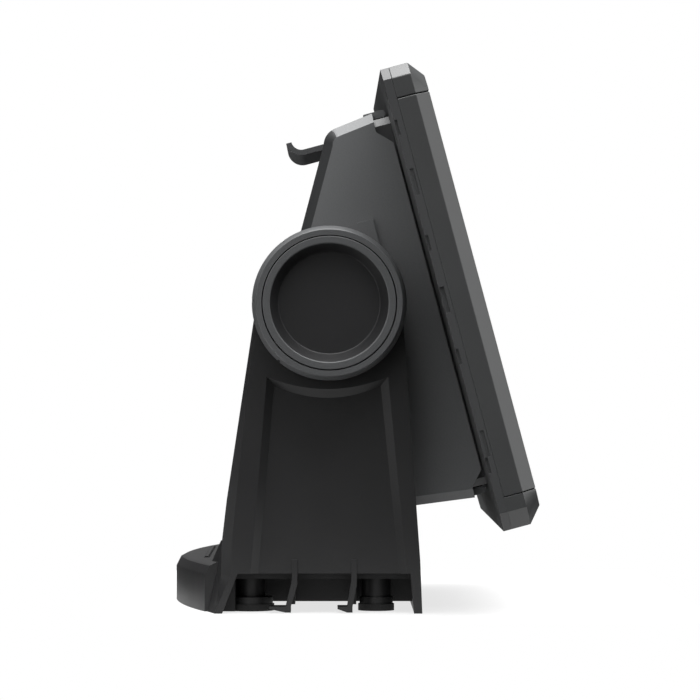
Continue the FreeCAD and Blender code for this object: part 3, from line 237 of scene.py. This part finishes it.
SAME_POINT = 0.002 * MM   # corners nearer than this are one corner
SAME_FACE = radians(0.4)  # faces that turn less than this are one face
SHARP = radians(32)       # edges that turn more than this are rounded
SMOOTH = radians(28)      # faces that turn less than this shade as one
ROUND_STEPS = 3


def softened(name, radius_mm):
    """A copy of a CAD piece with its sharp edges rounded as the mould rounds them."""
    node = frame["nodes"][name]
    piece = node.copy()
    piece.data = node.data.copy()
    piece.name = name + "_soft"
    piece.parent = None
    scene.collection.objects.link(piece)
    choose(piece)
    bpy.ops.object.mode_set(mode="EDIT")
    bpy.ops.mesh.select_all(action="SELECT")
    bpy.ops.mesh.remove_doubles(threshold=SAME_POINT)
    bpy.ops.mesh.dissolve_limited(angle_limit=SAME_FACE)
    bpy.ops.object.mode_set(mode="OBJECT")
    bevel = piece.modifiers.new("round", "BEVEL")
    bevel.width = radius_mm * MM
    bevel.segments = ROUND_STEPS
    bevel.angle_limit = SHARP
    bevel.use_clamp_overlap = True
    apply_all(piece)
    bpy.ops.object.shade_smooth_by_angle(angle=SMOOTH)
    even = piece.modifiers.new("even", "WEIGHTED_NORMAL")
    even.keep_sharp = True
    apply_all(piece)
    finish_as(piece, finish_of(name))
    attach(piece, body_with[name])
    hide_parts(name)
    return piece


def repainted(piece, material, chosen):
    """Gives the faces that chosen(corners, normal) picks a second finish."""
    piece.data.materials.append(material)
    for face in piece.data.polygons:
        if chosen([piece.data.vertices[i].co for i in face.vertices], face.normal):
            face.material_index = 1


SOFT_EDGES = {            # piece: radius of its rounded edges in mm
    "side_trim_left": 0.4, "side_trim_right": 0.4, "top_trim": 0.4, "bottom_trim": 0.4,
    "rear_case": 0.3, "cradle_shell": 0.5, "release_lever": 0.5, "bail_bracket": 0.8,
    "knob_ring_left": 0.5, "knob_ring_right": 0.5, "knob_cap_left": 0.4, "knob_cap_right": 0.4,
    "power_key": 0.3, "card_door": 0.3, "power_socket": 0.4, "data_sockets": 0.4,
}
LIP_IN = 25.3 * MM        # the knob's grip finish also covers the cap's lip, from this radius out
LIP_SIDEWAYS = 0.3        # least sideways part of a lip face's normal
# The cradle's faces that turn rearward and not upward take the darker copy of its plastic, as painted shade.
BACK_REARWARD = 0.35      # least rearward part of the normal of the cradle's back and its chamfers
BACK_UPWARD = 0.60        # greatest upward part of it, which leaves out the roof
knob_joint = next(joint for joint in frame["joints"] if joint["name"] == "knob_left_turn")
knob_axis = Vector(knob_joint["pos_m"]).yz


def on_lip(corners, normal):
    return abs(normal.x) > LIP_SIDEWAYS and all((corner.yz - knob_axis).length > LIP_IN for corner in corners)


def on_back(corners, normal):
    return normal.y > BACK_REARWARD and normal.z < BACK_UPWARD


soft = {name: softened(name, radius) for name, radius in SOFT_EDGES.items()}
# Painted shade: the cradle's rearward faces get the darker copy of the same plastic.
repainted(soft["cradle_shell"], asa_back_painted_shade, on_back)
for cap in ("knob_cap_left", "knob_cap_right"):
    repainted(soft[cap], knob_grip, on_lip)


# ---------------------------------------------------------------- floor and light
TABLE = (-0.175, 0.26, -0.17, 0.09)    # X and Y limits of the white table
TABLE_DROP = 0.05 * MM    # keeps the table's face clear of the faces that stand on it
TABLE_GLOW = 0.74         # translucent acrylic, lit from below
TABLE_TONE = 0.13         # what it still returns of the light from above
LAMPS = (                 # direction, edge cosines, power
    ((-0.08, -0.10, 0.99), (0.74, 0.93), 12.0),    # softbox overhead
    ((-0.62, 0.62, 0.45), (0.66, 0.95), 1.7),      # soft key, from the rear side
    ((-0.60, -0.76, 0.20), (0.76, 0.97), 0.6),     # weaker fill on the screen's side
    ((-0.05, -0.97, 0.24), (0.86, 0.97), 2.5),     # large panel that the screen faces
    ((-0.05, 0.80, -0.60), (0.90, 0.97), 6.0),     # low strip behind
)
DOME_POWER = 0.8          # soft light from above, all round
ROOM_POWER = 0.02         # the rest of the room
DOME_HEIGHTS = (0.15, 0.95)    # upward part of the directions where the dome starts and is full


def light_table():
    """White acrylic table, lit from below, under the part only."""
    deselect()
    x0, x1, y0, y1 = TABLE
    bpy.ops.mesh.primitive_plane_add(size=1, location=((x0 + x1) / 2, (y0 + y1) / 2, -TABLE_DROP))
    table = bpy.context.active_object
    table.name = "studio_floor"
    table.scale = (x1 - x0, y1 - y0, 1)
    bpy.ops.object.transform_apply(location=True, rotation=False, scale=True)
    acrylic, _, shader = start("acrylic_white_cast", Roughness=0.6)
    shader.inputs["Base Color"].default_value = (TABLE_TONE, TABLE_TONE, TABLE_TONE, 1)
    shader.inputs["Emission Color"].default_value = (1, 1, 1, 1)
    shader.inputs["Emission Strength"].default_value = TABLE_GLOW
    finish_as(table, acrylic)


def studio_light():
    """The lamps above and a weak dome in a dim room; the camera itself sees plain white."""
    world = bpy.data.worlds.new("studio")
    world.use_nodes = True
    scene.world = world
    tree = world.node_tree
    tree.nodes.clear()
    way = add(tree, "ShaderNodeTexCoord").outputs["Generated"]
    axes = add(tree, "ShaderNodeSeparateXYZ", Vector=way)

    def ramp(value, start_at, end_at, low, high):
        return add(tree, "ShaderNodeMapRange", {
            "interpolation_type": "SMOOTHSTEP", "From Min": start_at, "From Max": end_at,
            "To Min": low, "To Max": high}, Value=value).outputs["Result"]

    def both(kind, first, second):
        node = add(tree, "ShaderNodeMath", {"operation": kind})
        tree.links.new(first, node.inputs[0])
        tree.links.new(second, node.inputs[1])
        return node.outputs["Value"]

    def lamp(direction, edge, power):
        towards = add(tree, "ShaderNodeVectorMath", {"operation": "DOT_PRODUCT"})
        tree.links.new(way, towards.inputs[0])
        towards.inputs[1].default_value = Vector(direction).normalized()
        return ramp(towards.outputs["Value"], *edge, 0.0, power)

    total = ramp(axes.outputs["Z"], *DOME_HEIGHTS, ROOM_POWER, DOME_POWER)
    for lamp_values in LAMPS:
        total = both("ADD", total, lamp(*lamp_values))
    lit = add(tree, "ShaderNodeBackground", {"Color": (1, 1, 1, 1)}, Strength=total)
    plain = add(tree, "ShaderNodeBackground", {"Color": (1, 1, 1, 1), "Strength": 1.0})
    eye = add(tree, "ShaderNodeLightPath").outputs["Is Camera Ray"]
    mix = add(tree, "ShaderNodeMixShader", Fac=eye)
    tree.links.new(lit.outputs["Background"], mix.inputs[1])
    tree.links.new(plain.outputs["Background"], mix.inputs[2])
    add(tree, "ShaderNodeOutputWorld", Surface=mix.outputs["Shader"])


light_table()
studio_light()
